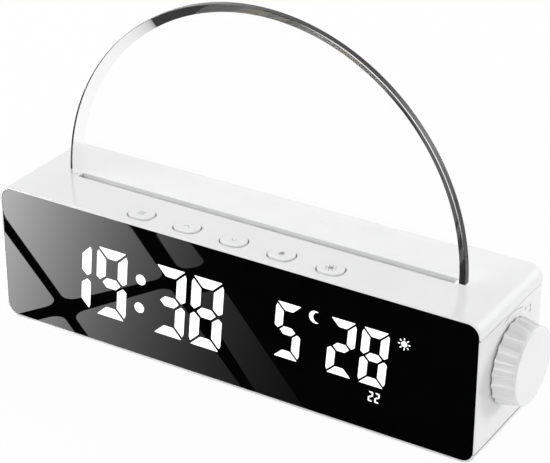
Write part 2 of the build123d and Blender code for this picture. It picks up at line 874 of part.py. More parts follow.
with BuildPart() as dimmer_shaft:
    with BuildSketch(on_knob(shaft_start_x + shaft_clearance)):
        Circle(shaft_radius)
    extrude(amount=bore_end_x - shaft_start_x - seat_gap)
    with BuildSketch(on_knob(bush_end_x)):
        with Locations((shaft_radius, 0)):
            Rectangle(2 * (shaft_radius - shaft_flat), 3 * shaft_radius)
    extrude(amount=knob_length, mode=Mode.SUBTRACT)
dimmer_shaft.part.label = "dimmer_shaft"
export_step(dimmer_shaft.part, "parts/dimmer_shaft.step")

with BuildPart() as dimmer_body:
    with BuildSketch(on_knob(dimmer_start_x)):
        Rectangle(dimmer_body_size, dimmer_body_size)
    extrude(amount=dimmer_body_depth)
    with BuildSketch(on_knob(bush_start_x)):
        Circle(bush_radius)
    extrude(amount=bush_end_x - bush_start_x)
    with BuildSketch(on_knob(shaft_start_x)):
        Circle(shaft_radius + shaft_clearance)
    extrude(amount=bush_end_x - shaft_start_x, mode=Mode.SUBTRACT)
dimmer_body.part.label = "dimmer_body"
export_step(dimmer_body.part, "parts/dimmer_body.step")

with BuildPart() as dimmer_washer:
    with BuildSketch(on_knob(knob_wall_x)):
        Circle(washer_radius)
        Circle(bush_radius + bush_clearance, mode=Mode.SUBTRACT)
    extrude(amount=washer_thickness)
dimmer_washer.part.label = "dimmer_washer"
export_step(dimmer_washer.part, "parts/dimmer_washer.step")

with BuildPart() as dimmer_nut:
    with BuildSketch(on_knob(knob_wall_x + washer_thickness)):
        RegularPolygon(nut_flats / 2, 6, major_radius=False)
        Circle(bush_radius + screw_clearance, mode=Mode.SUBTRACT)
    extrude(amount=nut_thickness)
dimmer_nut.part.label = "dimmer_nut"
export_step(dimmer_nut.part, "parts/dimmer_nut.step")


# ---------------------------------------------------------------- main board

with BuildPart() as main_board:
    with BuildSketch(on_board(main_board_z)):
        RectangleRounded(*main_board_size, board_corner)
        with Locations(*grid(main_screw_spacing, (0, 0))):
            Circle(board_screw_radius + through_clearance, mode=Mode.SUBTRACT)
    extrude(amount=board_thickness)
main_board.part.label = "main_board"
export_step(main_board.part, "parts/main_board.step")

with BuildPart() as power_socket:
    with BuildSketch(upright(shell_back_y - socket_inset)):
        with Locations((socket_place, socket_z)):
            RectangleRounded(socket_size[0], socket_size[2], socket_corner)
    extrude(amount=socket_size[1])
    with BuildSketch(upright(shell_back_y - socket_inset)):
        with Locations((socket_place, socket_z)):
            RectangleRounded(
                socket_size[0] - 2 * socket_shell,
                socket_size[2] - 2 * socket_shell,
                socket_corner - socket_shell,
            )
            Rectangle(*socket_tongue, mode=Mode.SUBTRACT)
    extrude(amount=socket_size[1] - socket_back, mode=Mode.SUBTRACT)
power_socket.part.label = "power_socket"
export_step(power_socket.part, "parts/power_socket.step")

with BuildPart() as main_chips:
    for x, y, length, width, height in chips:
        with BuildSketch(on_board(main_board_top)):
            with Locations((x, y)):
                Rectangle(length, width)
        extrude(amount=height)
main_chips.part.label = "main_chips"
export_step(main_chips.part, "parts/main_chips.step")

with BuildPart() as capacitors:
    with BuildSketch(on_board(main_board_top)):
        with Locations(*capacitor_places):
            Circle(capacitor_radius)
    extrude(amount=capacitor_height)
capacitors.part.label = "capacitors"
export_step(capacitors.part, "parts/capacitors.step")

with BuildPart() as cell_holder:
    with BuildSketch(on_board(main_board_top)):
        with Locations(cell_place):
            Circle(cell_radius + cell_clearance + cell_holder_wall)
    extrude(amount=cell_holder_floor + cell_thickness)
    with BuildSketch(on_board(main_board_top + cell_holder_floor)):
        with Locations(cell_place):
            Circle(cell_radius + cell_clearance)
    extrude(amount=cell_thickness, mode=Mode.SUBTRACT)
    # A notch to push the cell out.
    with BuildSketch(on_board(main_board_top + cell_holder_floor)):
        with Locations((cell_place[0], cell_place[1] - cell_radius)):
            Rectangle(cell_radius, cell_radius)
    extrude(amount=cell_thickness, mode=Mode.SUBTRACT)
cell_holder.part.label = "cell_holder"
export_step(cell_holder.part, "parts/cell_holder.step")

with BuildPart() as coin_cell:
    with BuildSketch(on_board(main_board_top + cell_holder_floor)):
        with Locations(cell_place):
            Circle(cell_radius)
    extrude(amount=cell_thickness)
    chamfer(coin_cell.faces().sort_by(Axis.Z)[0].edges(), cell_chamfer)
coin_cell.part.label = "coin_cell"
export_step(coin_cell.part, "parts/coin_cell.step")


# ---------------------------------------------------------------- loudspeaker

speaker_plane = Plane((housing_x + speaker_place[0], shell_inner_y, speaker_place[1]))
speaker_axis = Axis((housing_x + speaker_place[0], 0, speaker_place[1]), (0, 1, 0))

with BuildPart() as speaker_frame:
    with BuildSketch(speaker_plane):
        with BuildLine():
            Polyline(
                (speaker_radius - speaker_flange, 0),
                (speaker_radius, 0),
                (speaker_radius, -speaker_flange),
                (magnet_radius + basket_lip, -speaker_depth),
                (magnet_radius - basket_lip, -speaker_depth),
                (magnet_radius - basket_lip, basket_lip - speaker_depth),
                (magnet_radius, basket_lip - speaker_depth),
                (speaker_radius - speaker_flange, -speaker_flange),
                close=True,
            )
        make_face()
    revolve(axis=speaker_axis)
speaker_frame.part.label = "speaker_frame"
export_step(speaker_frame.part, "parts/speaker_frame.step")

with BuildPart() as speaker_magnet:
    with BuildSketch(upright(shell_inner_y - speaker_depth)):
        with Locations(speaker_place):
            Circle(magnet_radius)
    extrude(amount=magnet_depth)
speaker_magnet.part.label = "speaker_magnet"
export_step(speaker_magnet.part, "parts/speaker_magnet.step")

cone_profile = (
    (0, cone_stand - speaker_depth),
    (cone_neck_radius, cone_neck_stand - speaker_depth),
    (speaker_radius - speaker_flange - seat_gap, -cone_edge_drop),
)

with BuildPart() as speaker_cone:
    with BuildSketch(speaker_plane):
        with BuildLine():
            Polyline(
                *cone_profile,
                *[(r, y + cone_thickness) for r, y in reversed(cone_profile)],
                close=True,
            )
        make_face()
    revolve(axis=speaker_axis)
speaker_cone.part.label = "speaker_cone"
export_step(speaker_cone.part, "parts/speaker_cone.step")


# ---------------------------------------------------------------- flat cables

def ribbon(cable, points):
    """A flat cable in a plane across the housing, bent with small arcs at its corners."""
    x, width = cable
    shortest = min((Vector(*b) - Vector(*a)).length for a, b in zip(points, points[1:]))
    with BuildPart() as strip:
        with BuildSketch(cross(main_board_x + x - width / 2)):
            with BuildLine():
                FilletPolyline(*points, radius=min(ribbon_bend, shortest / 2.2))
            trace(line_width=ribbon_thickness)
        extrude(amount=width)
    return strip.part


plug_top = main_board_top + plug_size[1]
display_plug_y = main_board_y - main_board_size[1] / 2 + plug_margin + plug_size[0] / 2
display_cable_z = plug_top + display_cable_rise
lamp_cable_y = main_board_y + lamp_plug_y
button_cable_y = main_board_y + button_plug_y
button_exit_y = display_back_y + button_cable_gap

display_ribbon = ribbon(
    display_cable,
    [
        (display_back_y + plug_size[1], display_cable_z),
        (display_plug_y, display_cable_z),
        (display_plug_y, plug_top),
    ],
)
display_ribbon.label = "display_ribbon"
export_step(display_ribbon, "parts/display_ribbon.step")

lamp_ribbon = ribbon(
    lamp_cable,
    [
        (plate_mid_y, light_board_z),
        (plate_mid_y, light_board_z - lamp_cable_bends[0]),
        (lamp_cable_y, light_board_z - lamp_cable_bends[1]),
        (lamp_cable_y, plug_top),
    ],
)
lamp_ribbon.label = "lamp_ribbon"
export_step(lamp_ribbon, "parts/lamp_ribbon.step")

button_ribbon = ribbon(
    button_cable,
    [
        (button_exit_y, button_board_z),
        (button_exit_y, main_board_top + button_cable_bends[0]),
        (button_cable_y, main_board_top + button_cable_bends[1]),
        (button_cable_y, plug_top),
    ],
)
button_ribbon.label = "button_ribbon"
export_step(button_ribbon, "parts/button_ribbon.step")

with BuildPart() as ribbon_plugs:
    with BuildSketch(level(main_board_top)):
        for (x, width), y in (
            (display_cable, display_plug_y),
            (lamp_cable, lamp_cable_y),
            (button_cable, button_cable_y),
        ):
            with Locations((main_board_x + x, y)):
                Rectangle(width + 2 * plug_margin, plug_size[0])
    extrude(amount=plug_size[1])
    with BuildSketch(upright(display_back_y)):
        with Locations((main_board_x + display_cable[0], display_cable_z)):
            Rectangle(display_cable[1] + 2 * plug_margin, plug_size[0])
    extrude(amount=-plug_size[1])
ribbon_plugs.part.label = "ribbon_plugs"
export_step(ribbon_plugs.part, "parts/ribbon_plugs.step")


# ---------------------------------------------------------------- feet and screws

with BuildPart() as rubber_feet:
    with BuildSketch(level(0)):
        with Locations(*foot_places):
            Circle(foot_radius)
    extrude(amount=base_z + foot_recess)
    fillet(rubber_feet.faces().group_by(Axis.Z)[0].edges(), foot_edge_radius)
rubber_feet.part.label = "rubber_feet"
export_step(rubber_feet.part, "parts/rubber_feet.step")

case_head_z = base_z + case_counterbore_depth
with BuildPart() as case_screws:
    with BuildSketch(level(case_head_z)):
        with Locations(*post_places):
            Circle(case_head[0])
    extrude(amount=-case_head[1])
    with BuildSketch(level(case_head_z)):
        with Locations(*post_places):
            Circle(case_screw_radius)
    extrude(amount=case_screw_length)
    # Cross recess for the driver.
    with BuildSketch(level(case_head_z - case_head[1])):
        with Locations(*post_places):
            Rectangle(case_recess[0], case_recess[1])
            Rectangle(case_recess[1], case_recess[0])
    extrude(amount=case_recess[2], mode=Mode.SUBTRACT)
case_screws.part.label = "case_screws"
export_step(case_screws.part, "parts/case_screws.step")


def small_screws(plane_of, seat, places, length, direction):
    """Pan head screws on one plane: the head stands off the seat, the shank goes into it."""
    with BuildPart() as screws:
        with BuildSketch(plane_of(seat)):
            with Locations(*places):
                Circle(board_head[0])
        extrude(amount=direction * board_head[1])
        with BuildSketch(plane_of(seat)):
            with Locations(*places):
                Circle(board_screw_radius)
        extrude(amount=-direction * length)
    return screws.part


main_screws = small_screws(
    on_board, main_board_top, grid(main_screw_spacing, (0, 0)), board_screw_length, 1
)
main_screws.label = "main_screws"
export_step(main_screws, "parts/main_screws.step")

display_screws = small_screws(
    upright,
    display_back_y,
    grid(display_screw_spacing, (0, digits_mid_z)),
    board_screw_length,
    -1,
)
display_screws.label = "display_screws"
export_step(display_screws, "parts/display_screws.step")

button_screws = small_screws(
    level,
    button_board_z,
    [(-button_screw_spacing / 2, button_y), (button_screw_spacing / 2, button_y)],
    board_screw_length,
    -1,
)
button_screws.label = "button_screws"
export_step(button_screws, "parts/button_screws.step")

holder_screws = small_screws(
    level,
    light_board_z,
    [(-holder_screw_x, plate_mid_y), (holder_screw_x, plate_mid_y)],
    board_thickness + holder_ear_thickness + holder_screw_bite,
    -1,
)
holder_screws.label = "holder_screws"
export_step(holder_screws, "parts/holder_screws.step")
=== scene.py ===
from math import atan2, cos, pi, radians, sin, tan

import bpy
from mathutils import Matrix, Vector


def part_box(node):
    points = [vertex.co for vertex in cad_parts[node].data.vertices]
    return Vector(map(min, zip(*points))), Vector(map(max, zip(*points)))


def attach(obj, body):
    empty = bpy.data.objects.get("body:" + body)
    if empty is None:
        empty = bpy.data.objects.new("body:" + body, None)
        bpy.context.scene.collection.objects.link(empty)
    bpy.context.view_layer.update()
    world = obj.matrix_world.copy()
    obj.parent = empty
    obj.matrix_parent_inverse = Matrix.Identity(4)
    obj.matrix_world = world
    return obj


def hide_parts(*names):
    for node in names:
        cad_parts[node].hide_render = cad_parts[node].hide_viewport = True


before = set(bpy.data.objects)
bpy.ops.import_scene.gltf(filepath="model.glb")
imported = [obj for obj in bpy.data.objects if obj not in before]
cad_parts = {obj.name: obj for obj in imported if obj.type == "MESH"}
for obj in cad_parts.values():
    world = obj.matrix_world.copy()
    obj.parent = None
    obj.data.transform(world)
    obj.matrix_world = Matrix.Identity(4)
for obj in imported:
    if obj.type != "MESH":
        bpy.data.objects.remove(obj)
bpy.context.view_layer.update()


# ---- Camera -------------------------------------------------------------------------------------
# A long lens looks down on the clock from its front right and 0.39 m above the table, so that the
# mirror front, the top and the knob end all show.
MM = 0.001
camera_place = (332.048 * MM, -542.039 * MM, 386.557 * MM)
camera_heading = radians(31.388)
camera_dip = radians(27.577)
camera_roll = radians(0.11)
camera_data = bpy.data.cameras.new("camera")
camera_data.sensor_width = 36.0
camera_data.lens = 129.22
camera_data.clip_start = 0.02
camera_data.clip_end = 60.0
camera = bpy.data.objects.new("camera", camera_data)
bpy.context.collection.objects.link(camera)
bpy.context.scene.camera = camera
camera.matrix_world = (
    Matrix.Translation(camera_place)
    @ Matrix.Rotation(camera_heading, 4, "Z")
    @ Matrix.Rotation(pi / 2 - camera_dip, 4, "X")
    @ Matrix.Rotation(camera_roll, 4, "Z")
)


# ---- Rubber feet --------------------------------------------------------------------------------
# Four die-cut silicone discs under the base, stuck into shallow rings near its corners. The rubber
# is a matt grey with a fine moulded grain, and it holds a little dust.
class Wire:
    """A shader socket that takes arithmetic: an expression on wires adds Math nodes."""

    def __init__(self, tree, socket=None):
        self.tree = tree
        self.socket = socket

    def add(self, kind, settings=None, sockets=None, out=0):
        """A new node: its settings come first, then the values or links of its sockets."""
        node = self.tree.nodes.new(kind)
        for name, value in (settings or {}).items():
            setattr(node, name, value)
        for name, value in (sockets or {}).items():
            if isinstance(value, Wire):
                self.tree.links.new(value.socket, node.inputs[name])
            else:
                node.inputs[name].default_value = value
        return Wire(self.tree, node.outputs[out] if node.outputs else None)

    def math(self, operation, first, second=0.0):
        """The result of one Math node."""
        return self.add("ShaderNodeMath", {"operation": operation}, {0: first, 1: second})

    def blend(self, mask, first, second):
        """The first colour where the mask is 0, and the second where it is 1."""
        return self.add("ShaderNodeMix", {"data_type": "RGBA"}, {0: mask, 6: first, 7: second}, 2)

    def __add__(self, other):
        return self.math("ADD", self, other)

    def __sub__(self, other):
        return self.math("SUBTRACT", self, other)

    def __rsub__(self, other):
        return self.math("SUBTRACT", other, self)

    def __mul__(self, other):
        return self.math("MULTIPLY", self, other)

    __radd__ = __add__
    __rmul__ = __mul__


def new_material(name):
    """An empty node material, and the wire that its nodes start from."""
    material = bpy.data.materials.new(name)
    material.use_nodes = True
    material.node_tree.nodes.clear()
    return material, Wire(material.node_tree)


def grain(wire, size, detail=2.0, stretch=(1, 1, 1)):
    """Soft noise whose blots are about that size, in metres, from 0 to 1."""
    place = wire.add("ShaderNodeTexCoord", out="Object")
    scaled = wire.add("ShaderNodeMapping", {}, {"Vector": place, "Scale": stretch})
    return wire.add("ShaderNodeTexNoise", {}, {"Vector": scaled, "Scale": 1 / size, "Detail": detail})


def coat_with(wire, sockets, relief=None, depth=0.0):
    """Ends a material in its shader, with the relief that deep, in metres, as its bump."""
    if relief is not None:
        bump = {"Strength": 1.0, "Distance": depth, "Height": relief}
        sockets = {**sockets, "Normal": wire.add("ShaderNodeBump", {}, bump)}
    shader = wire.add("ShaderNodeBsdfPrincipled", {}, sockets)
    wire.add("ShaderNodeOutputMaterial", {}, {"Surface": shader})


def dress(material, *names):
    """Gives CAD nodes their finish."""
    for name in names:
        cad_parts[name].material_slots[0].material = material


foot_rubber, wire = new_material("grey_silicone_rubber")
dust = grain(wire, 2.5 * MM, 4)
coat_with(
    wire,
    {
        "Base Color": wire.blend(dust, (0.10, 0.10, 0.105, 1), (0.16, 0.16, 0.155, 1)),
        "Roughness": 0.55 + 0.2 * dust,
    },
    relief=grain(wire, 0.25 * MM),
    depth=0.02 * MM,
)
dress(foot_rubber, "rubber_feet")


# ---- Housing covers -----------------------------------------------------------------------------
# The base, the rear shell and the top cover are injection moulded from white ABS in a polished
# tool, so they are glossy with a very faint waviness and no grain. Screws from below hold them.
def white_plastic(name, bright, shade, roughness, ripple):
    """Polished white ABS, which flows a little unevenly and is never quite flat."""
    material, wire = new_material(name)
    flow = grain(wire, 30 * MM)
    haze = grain(wire, 4 * MM, 5)
    coat_with(
        wire,
        {
            "Base Color": wire.blend(flow, (*bright, 1), (*shade, 1)),
            "Roughness": roughness + 0.06 * haze,
            "IOR": 1.5,
        },
        relief=grain(wire, 7 * MM, 1),
        depth=ripple,
    )
    return material


gloss_white = white_plastic(
    "polished_white_abs", (0.90, 0.90, 0.905), (0.87, 0.87, 0.875), 0.05, 0.006 * MM
)
dress(gloss_white, "base_cover", "rear_shell", "top_cover")


# ---- Screws and dimmer metal --------------------------------------------------------------------
# Zinc-plated steel: self-tapping screws in the posts and boards, the body, nut, washer and shaft of
# the rotary dimmer, and the power socket. The plating is even, with fine turning marks and dull
# patches.
steel, wire = new_material("zinc_plated_steel")
patches = grain(wire, 1.5 * MM, 4)
coat_with(
    wire,
    {
        "Base Color": wire.blend(patches, (0.62, 0.62, 0.63, 1), (0.50, 0.51, 0.53, 1)),
        "Metallic": 1.0,
        "Roughness": 0.22 + 0.18 * patches,
    },
    relief=grain(wire, 0.3 * MM, 2, (1, 1, 6)),
    depth=0.01 * MM,
)
dress(steel, "case_screws", "main_screws", "display_screws", "button_screws", "holder_screws")
dress(steel, "dimmer_body", "dimmer_washer", "dimmer_nut", "dimmer_shaft", "power_socket")


# ---- Circuit boards -----------------------------------------------------------------------------
# Glass-fibre boards under green solder mask, with copper tracks that show through it as paler
# lines. The lamp board has white mask, which throws its light up into the plate. Its mask is
# painted a light grey instead of white: painted shade for the slot seen through the plate.
def circuit_board(name, mask, track, pad):
    """Solder mask over copper tracks, with a grid of tinned pads."""
    material, wire = new_material(name)
    place = wire.add("ShaderNodeTexCoord", out="Object")
    tracks = wire.add(
        "ShaderNodeTexBrick",
        {"offset": 0.37, "squash": 0.6, "squash_frequency": 3},
        {"Vector": place, "Scale": 1.0, "Mortar Size": 0.13 * MM, "Brick Width": 5.1 * MM,
         "Row Height": 1.7 * MM, "Mortar Smooth": 0.2},
        "Fac",
    )
    cells = wire.add(
        "ShaderNodeTexVoronoi", {}, {"Vector": place, "Scale": 1 / (3.4 * MM), "Randomness": 0.9},
        "Distance",
    )
    pads = wire.math("LESS_THAN", cells, 0.16)
    lines = wire.blend(tracks, (*mask, 1), (*track, 1))
    coat_with(
        wire,
        {
            "Base Color": wire.blend(pads, lines, (*pad, 1)),
            "Roughness": 0.34 - 0.1 * pads + 0.08 * grain(wire, 0.8 * MM, 3),
            "Metallic": pads,
        },
        relief=tracks + pads,
        depth=0.03 * MM,
    )
    return material


tin = (0.70, 0.69, 0.64)
board_green = circuit_board("green_circuit_board", (0.012, 0.15, 0.055), (0.03, 0.25, 0.10), tin)
# The lamp board's mask is a light grey, not white: painted shade that darkens the slot under the
# plate.
lamp_board_painted_shade = circuit_board("lamp_mask_with_painted_shade", (0.66, 0.66, 0.64), (0.58, 0.58, 0.57), tin)
dress(board_green, "main_board", "display_board", "button_board")
dress(lamp_board_painted_shade, "light_board")


# ---- Black mouldings ----------------------------------------------------------------------------
# The carrier and reflector behind the mirror, the loudspeaker's basket, the coin cell's holder, the
# chips and the switches with their plungers are black plastic with a fine spark-eroded grain.
black_plastic, wire = new_material("matt_black_plastic")
worn = grain(wire, 3 * MM, 4)
coat_with(
    wire,
    {
        "Base Color": wire.blend(worn, (0.018, 0.018, 0.02, 1), (0.032, 0.032, 0.034, 1)),
        "Roughness": 0.5 + 0.15 * worn,
    },
    relief=grain(wire, 0.22 * MM, 3),
    depth=0.015 * MM,
)
dress(black_plastic, "panel_carrier", "display_reflector", "tact_switches", "cell_holder")
dress(black_plastic, "speaker_frame", "main_chips")
button_names = ["mode", "up", "down", "bell", "light"]
dress(black_plastic, *[f"plunger_{name}" for name in button_names])


# ---- Coin cell, capacitors and magnet -----------------------------------------------------------
# A stainless coin cell keeps the time when the plug is out, and two aluminium cans smooth the
# supply. Both are drawn metal, brushed by the drawing, with a slightly uneven shine. The plated
# magnet of the loudspeaker is duller, with the same fine lines.
def drawn_metal(name, bright, dull, roughness):
    """Bare or plated metal with fine lines along its wall."""
    material, wire = new_material(name)
    lines = grain(wire, 0.6 * MM, 3, (1, 1, 0.08))
    coat_with(
        wire,
        {
            "Base Color": wire.blend(lines, (*bright, 1), (*dull, 1)),
            "Metallic": 1.0,
            "Roughness": roughness + 0.12 * lines,
        },
        relief=lines,
        depth=0.006 * MM,
    )
    return material


dress(drawn_metal("stainless_cell", (0.75, 0.75, 0.76), (0.66, 0.66, 0.68), 0.14), "coin_cell")
dress(drawn_metal("aluminium_can", (0.78, 0.78, 0.80), (0.70, 0.70, 0.73), 0.25), "capacitors")
dress(drawn_metal("plated_magnet", (0.38, 0.38, 0.40), (0.30, 0.30, 0.32), 0.30), "speaker_magnet")


# ---- Ribbon cables ------------------------------------------------------------------------------
# Flat white film cables join the boards, with the tinned conductors inside them showing as faint
# grey lines. Their plugs are milky resin, and so are the diffusers of the display.
ribbon_film, wire = new_material("white_ribbon_film")
strands = wire.add(
    "ShaderNodeTexWave",
    {"bands_direction": "X"},
    {"Vector": wire.add("ShaderNodeTexCoord", out="Object"), "Scale": 0.31 / MM},
    "Fac",
)
coat_with(
    wire,
    {
        "Base Color": wire.blend(strands, (0.66, 0.66, 0.66, 1), (0.86, 0.86, 0.84, 1)),
        "Roughness": 0.42 + 0.1 * grain(wire, 2 * MM),
    },
    relief=strands,
    depth=0.05 * MM,
)
dress(ribbon_film, "display_ribbon", "lamp_ribbon", "button_ribbon")

milky_resin, wire = new_material("milky_resin")
cloud = grain(wire, 3 * MM, 3)
coat_with(
    wire,
    {
        "Base Color": wire.blend(cloud, (0.90, 0.90, 0.87, 1), (0.82, 0.82, 0.80, 1)),
        "Roughness": 0.4 + 0.15 * cloud,
        "Subsurface Weight": 0.3,
        "Subsurface Radius": (MM, MM, MM),
    },
    relief=grain(wire, 0.3 * MM),
    depth=0.01 * MM,
)
dress(milky_resin, "ribbon_plugs", "display_diffusers")


# ---- Lamps --------------------------------------------------------------------------------------
# Surface-mounted light packages: a white cup filled with cream-coloured phosphor, one behind each
# window of the display and a row of them under the plate.
phosphor, wire = new_material("phosphor_package")
speckle = grain(wire, 0.35 * MM, 4)
coat_with(
    wire,
    {
        "Base Color": wire.blend(speckle, (0.78, 0.75, 0.60, 1), (0.70, 0.66, 0.48, 1)),
        "Roughness": 0.35 + 0.2 * speckle,
    },
    relief=speckle,
    depth=0.02 * MM,
)
dress(phosphor, "display_leds", "light_leds")


# ---- Loudspeaker cone ---------------------------------------------------------------------------
# Pressed black paper pulp, with its fibres lying every way. It sits inside the rim of the
# loudspeaker's basket, behind the holes of the rear grille.
cone_paper, wire = new_material("pressed_cone_paper")
fibres = grain(wire, 0.5 * MM, 6, (1, 0.3, 1))
coat_with(
    wire,
    {
        "Base Color": wire.blend(fibres, (0.025, 0.025, 0.026, 1), (0.07, 0.07, 0.068, 1)),
        "Roughness": 0.75 + 0.15 * fibres,
    },
    relief=fibres,
    depth=0.08 * MM,
)
dress(cone_paper, "speaker_cone")


# ---- Mirror panel -------------------------------------------------------------------------------
# The whole front is one sheet of acrylic with a dark half mirror behind it, cut by laser and stuck
# to its carrier with tape. It is polished like glass, and only its finest haze breaks the gloss.
mirror_black, wire = new_material("dark_half_mirror")
haze = grain(wire, 25 * MM, 3)
coat_with(
    wire,
    {
        "Base Color": wire.blend(haze, (0.0012, 0.0012, 0.0014, 1), (0.0022, 0.0022, 0.0024, 1)),
        "Roughness": 0.015 + 0.015 * haze,
        "IOR": 1.5,
    },
    relief=grain(wire, 60 * MM, 0),
    depth=0.002 * MM,
)
dress(mirror_black, "mirror_panel")


# ---- Lit numerals -------------------------------------------------------------------------------
# The diffusers shine through the half mirror as slanted seven-segment numerals: the time on the
# left with its colon, the month and day on the right, and small figures under the day.
lit_white, wire = new_material("lit_segment")
glow = grain(wire, 5 * MM)
coat_with(
    wire,
    {
        "Base Color": (0.6, 0.6, 0.6, 1),
        "Roughness": 0.2 + 0.1 * glow,
        "Emission Color": wire.blend(glow, (1.0, 1.0, 1.0, 1), (0.94, 0.96, 0.98, 1)),
        "Emission Strength": 1.0,
    },
)

digit_width = 13.7 * MM
digit_height = 29.25 * MM
stroke = 4.1 * MM
segment_gap = 1.0 * MM
corner_cut = 1.2 * MM
segment_rounding = 0.5 * MM
digit_slant = radians(4.6)
glow_depth = 0.05 * MM


def deselect():
    bpy.ops.object.select_all(action="DESELECT")


def flat_shape(name, corners, rounding, steps=3):
    """A flat piece in the XZ plane: a vertex is drawn out from corner to corner and filled."""
    deselect()
    bpy.ops.mesh.primitive_plane_add(size=MM, location=(corners[0][0], 0, corners[0][1]))
    piece = bpy.context.object
    piece.name = name
    bpy.ops.object.mode_set(mode="EDIT")
    bpy.ops.mesh.merge(type="CENTER")
    for (x, z), (next_x, next_z) in zip(corners, corners[1:]):
        bpy.ops.mesh.extrude_region_move(
            TRANSFORM_OT_translate={"value": (next_x - x, 0, next_z - z)}
        )
    bpy.ops.mesh.select_all(action="SELECT")
    bpy.ops.mesh.edge_face_add()
    if rounding:
        bpy.ops.mesh.bevel(offset=rounding, segments=steps, affect="VERTICES")
    bpy.ops.object.mode_set(mode="OBJECT")
    bpy.ops.object.transform_apply(location=True, rotation=True, scale=True)
    return piece


def copy_of(piece, matrix):
    """A copy with its own mesh, which the matrix puts in its place."""
    twin = piece.copy()
    twin.data = piece.data.copy()
    twin.data.transform(matrix)
    bpy.context.collection.objects.link(twin)
    return twin


def joined(name, pieces, depth=0.0):
    """Pieces made one, with the flat ones thickened towards the front."""
    deselect()
    for piece in pieces:
        piece.select_set(True)
    bpy.context.view_layer.objects.active = pieces[0]
    bpy.ops.object.join()
    whole = bpy.context.object
    whole.name = name
    bpy.ops.object.mode_set(mode="EDIT")
    bpy.ops.mesh.select_all(action="SELECT")
    if depth:
        bpy.ops.mesh.extrude_region_move(TRANSFORM_OT_translate={"value": (0, -depth, 0)})
        bpy.ops.mesh.select_all(action="SELECT")
    bpy.ops.mesh.normals_make_consistent(inside=False)
    bpy.ops.object.mode_set(mode="OBJECT")
    return whole


def finished(piece, material, body):
    """A piece gets its finish and hangs on its body."""
    piece.data.materials.clear()
    piece.data.materials.append(material)
    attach(piece, body)
    return piece


half_width = digit_width / 2
half_height = digit_height / 2
inner_width = half_width - stroke
inner_height = half_height - stroke
mitre = segment_gap / 2 / sin(pi / 4)
top_bar = flat_shape(
    "top_bar",
    [
        (-half_width + mitre, half_height),
        (half_width - mitre, half_height),
        (inner_width - mitre, inner_height),
        (-inner_width + mitre, inner_height),
    ],
    segment_rounding,
)
right_bar = flat_shape(
    "right_bar",
    [
        (inner_width, stroke / 2 + mitre),
        (inner_width, inner_height - mitre),
        (half_width - corner_cut / 2, half_height - mitre - corner_cut / 2),
        (half_width, half_height - mitre - 1.6 * corner_cut),
        (half_width, mitre + corner_cut),
        (half_width - 0.4 * stroke, mitre),
    ],
    segment_rounding / 2,
)
middle_bar = flat_shape(
    "middle_bar",
    [
        (-inner_width - stroke / 2 + mitre, 0),
        (-inner_width + mitre, stroke / 2),
        (inner_width - mitre, stroke / 2),
        (inner_width + stroke / 2 - mitre, 0),
        (inner_width - mitre, -stroke / 2),
        (-inner_width + mitre, -stroke / 2),
    ],
    segment_rounding / 2,
)
over = Matrix.Scale(-1, 4, (0, 0, 1))
across = Matrix.Scale(-1, 4, (1, 0, 0))
same = Matrix.Identity(4)
segments = {
    "a": (top_bar, same),
    "b": (right_bar, same),
    "c": (right_bar, over),
    "d": (top_bar, over),
    "e": (right_bar, over @ across),
    "f": (right_bar, across),
    "g": (middle_bar, same),
}
lit_segments = {
    "1": "bc", "2": "abdeg", "3": "abcdg", "5": "acdfg", "8": "abcdefg", "9": "abcdfg",
}
panel_corner = Vector((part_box("mirror_panel")[0].x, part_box("mirror_panel")[0].y, 2 * MM))


def on_panel(x, z):
    """A place on the front of the mirror, from its lower left corner."""
    return Matrix.Translation(panel_corner + Vector((x, 0, z)))


slanted = Matrix.Shear("XY", 4, (0, 0))
slanted[0][2] = tan(digit_slant)


def show_digit(name, figure, x, z, height):
    """One numeral, its middle at that place on the mirror."""
    place = on_panel(x, z) @ Matrix.Scale(height / digit_height, 4) @ slanted
    bars = []
    for letter in lit_segments[figure]:
        bar, turn = segments[letter]
        bars.append(copy_of(bar, place @ turn))
    finished(joined(name, bars, glow_depth), lit_white, "housing")


# Each row: the height of its middle, the height of a numeral, and each one's place in millimetres.
digit_rows = {
    "time_digit": (26.45 * MM, digit_height, [("1", 33.55), ("9", 49.8), ("3", 75.9), ("8", 92.0)]),
    "date_digit": (29.75 * MM, 22.85 * MM, [("5", 126.4), ("2", 148.2), ("8", 161.2)]),
    "week_digit": (13.85 * MM, 4.1 * MM, [("2", 160.4), ("2", 163.0)]),
}
for row, (middle, height, figures) in digit_rows.items():
    for number, (figure, x) in enumerate(figures, 1):
        show_digit(f"{row}_{number}", figure, x * MM, middle, height)

colon_radius = 2.15 * MM
colon_places = [(63.3 * MM, 32.2 * MM), (62.2 * MM, 20.1 * MM)]
dots = []
for x, z in colon_places:
    deselect()
    bpy.ops.mesh.primitive_circle_add(
        vertices=32, radius=colon_radius, fill_type="NGON", rotation=(pi / 2, 0, 0)
    )
    bpy.ops.object.transform_apply(location=True, rotation=True, scale=True)
    bpy.context.object.data.transform(on_panel(x, z))
    dots.append(bpy.context.object)
finished(joined("time_colon", dots, glow_depth), lit_white, "housing")


# ---- Moon and sun marks -------------------------------------------------------------------------
# A crescent beside the month and a sun beside the day shine through the mirror as the numerals do,
# each with a diffuser of its own behind it.
def arc(centre, radius, start, sweep, count):
    """Corners along an arc, both of its ends included."""
    turns = [start + sweep * step / count for step in range(count + 1)]
    return [(centre + radius * cos(turn), radius * sin(turn)) for turn in turns]


